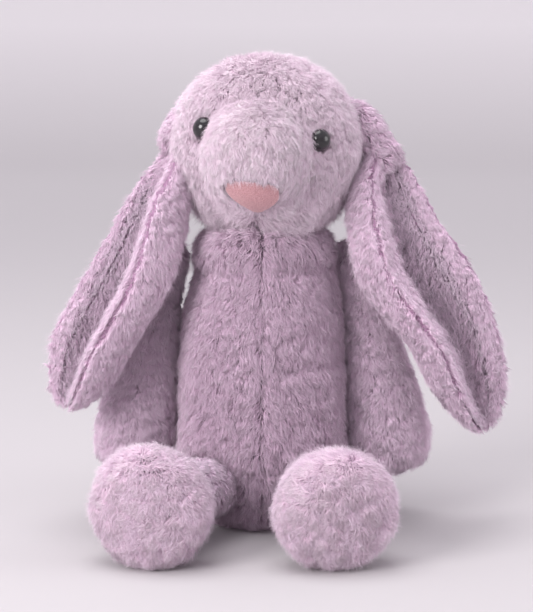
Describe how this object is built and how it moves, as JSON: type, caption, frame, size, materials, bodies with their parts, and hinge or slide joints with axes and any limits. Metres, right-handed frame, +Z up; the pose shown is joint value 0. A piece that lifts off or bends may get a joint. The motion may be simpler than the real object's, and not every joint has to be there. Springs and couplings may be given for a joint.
{
  "type": "plush rabbit",
  "caption": "Seated soft toy rabbit in lilac plush with long drop ears, a suede nose and round feet; head, ears, arms, legs, feet and tail turn on sewn joints.",
  "frame": {"origin": "middle of the flat seat, on the floor", "axes": "+Z up, the face looks along -Y, +X is the toy's own left"},
  "size_m": [0.2319, 0.2079, 0.2445],
  "materials": {
    "plush_body": "brushed lilac plush, 8 mm pile",
    "plush_head": "brushed lilac plush, 8 mm pile",
    "plush_face": "brushed pale lilac plush",
    "plush_ear": "lilac plush, short pile over knitted backing",
    "plush_ear_lining": "lilac plush lining",
    "plush_foot": "curly lilac plush",
    "nose_suede": "pink brushed suedette",
    "eye": "polished black safety eye",
    "washer": "moulded white washer",
    "stuffing": "polyester fibre fill",
    "lining_cloth": "woven cotton bag",
    "pellets": "plastic weighting pellets",
    "thread": "polyester sewing thread"
  },
  "bodies": {
    "torso": {"torso_front_left": "plush_body", "torso_front_right": "plush_body", "torso_back_left": "plush_body", "torso_back_right": "plush_body", "base_panel": "plush_body", "torso_stuffing": "stuffing", "pellet_bag": "lining_cloth", "pellets": "pellets", "neck_stump": "stuffing", "shoulder_thread_left": "thread", "shoulder_thread_right": "thread", "hip_thread_left": "thread", "hip_thread_right": "thread"},
    "neck": {"neck_collar": "plush_body"},
    "head": {"head_side_left": "plush_head", "head_side_right": "plush_head", "head_gusset": "plush_head", "snout_left": "plush_face", "snout_right": "plush_face", "head_stuffing": "stuffing", "nose": "nose_suede", "eye_left": "eye", "eye_right": "eye", "eye_washer_left": "washer", "eye_washer_right": "washer"},
    "ear_left": {"ear_left_outer": "plush_ear", "ear_left_lining": "plush_ear_lining"},
    "ear_right": {"ear_right_outer": "plush_ear", "ear_right_lining": "plush_ear_lining"},
    "arm_left": {"arm_left_outer": "plush_body", "arm_left_inner": "plush_body", "arm_left_stuffing": "stuffing"},
    "arm_right": {"arm_right_outer": "plush_body", "arm_right_inner": "plush_body", "arm_right_stuffing": "stuffing"},
    "leg_left": {"leg_left_cover": "plush_body", "leg_left_stuffing": "stuffing"},
    "leg_right": {"leg_right_cover": "plush_body", "leg_right_stuffing": "stuffing"},
    "foot_left": {"foot_left_upper": "plush_foot", "foot_left_sole": "plush_foot", "foot_left_stuffing": "stuffing"},
    "foot_right": {"foot_right_upper": "plush_foot", "foot_right_sole": "plush_foot", "foot_right_stuffing": "stuffing"},
    "tail": {"tail_cover": "plush_body", "tail_stuffing": "stuffing"}
  },
  "joints": [
    {"name": "neck_turn", "type": "hinge", "parent": "torso", "child": "neck", "pos_m": [0, 0, 0.154], "axis": [0, 0, 1], "range_deg": [-12, 12], "stiffness_Nm_per_rad": 0.8},
    {"name": "head_nod", "type": "hinge", "parent": "neck", "child": "head", "pos_m": [0, 0, 0.154], "axis": [1, 0, 0], "range_deg": [-12, 10], "stiffness_Nm_per_rad": 2.5},
    {"name": "ear_left_lift", "type": "hinge", "parent": "head", "child": "ear_left", "pos_m": [0.05068, 0.00316, 0.21045], "axis": [0, -1, 0], "range_deg": [0, 70]},
    {"name": "ear_right_lift", "type": "hinge", "parent": "head", "child": "ear_right", "pos_m": [-0.04147, 0.01203, 0.21937], "axis": [0, 1, 0], "range_deg": [0, 70]},
    {"name": "arm_left_swing", "type": "hinge", "parent": "torso", "child": "arm_left", "pos_m": [0.0515, 0.008, 0.138], "axis": [-0.9513, 0.2549, -0.1736], "range_deg": [-40, 70]},
    {"name": "arm_right_swing", "type": "hinge", "parent": "torso", "child": "arm_right", "pos_m": [-0.0515, 0.008, 0.138], "axis": [-0.9513, -0.2549, 0.1736], "range_deg": [-40, 70]},
    {"name": "leg_left_drop", "type": "hinge", "parent": "torso", "child": "leg_left", "pos_m": [0.027, -0.034, 0.024], "axis": [0.9925, 0.1219, 0], "range_deg": [-20, 70]},
    {"name": "leg_right_drop", "type": "hinge", "parent": "torso", "child": "leg_right", "pos_m": [-0.027, -0.034, 0.024], "axis": [0.9272, -0.3746, 0], "range_deg": [-20, 70]},
    {"name": "foot_left_bend", "type": "hinge", "parent": "leg_left", "child": "foot_left", "pos_m": [0.03331, -0.08542, 0.0285], "axis": [0.9925, 0.1219, 0], "range_deg": [-15, 15], "stiffness_Nm_per_rad": 0.3},
    {"name": "foot_right_bend", "type": "hinge", "parent": "leg_right", "child": "foot_right", "pos_m": [-0.04641, -0.08203, 0.0285], "axis": [0.9272, -0.3746, 0], "range_deg": [-15, 15], "stiffness_Nm_per_rad": 0.3},
    {"name": "tail_bend", "type": "hinge", "parent": "torso", "child": "tail", "pos_m": [0, 0.0475, 0.032], "axis": [1, 0, 0], "range_deg": [-12, 12], "stiffness_Nm_per_rad": 0.1}
  ]
}
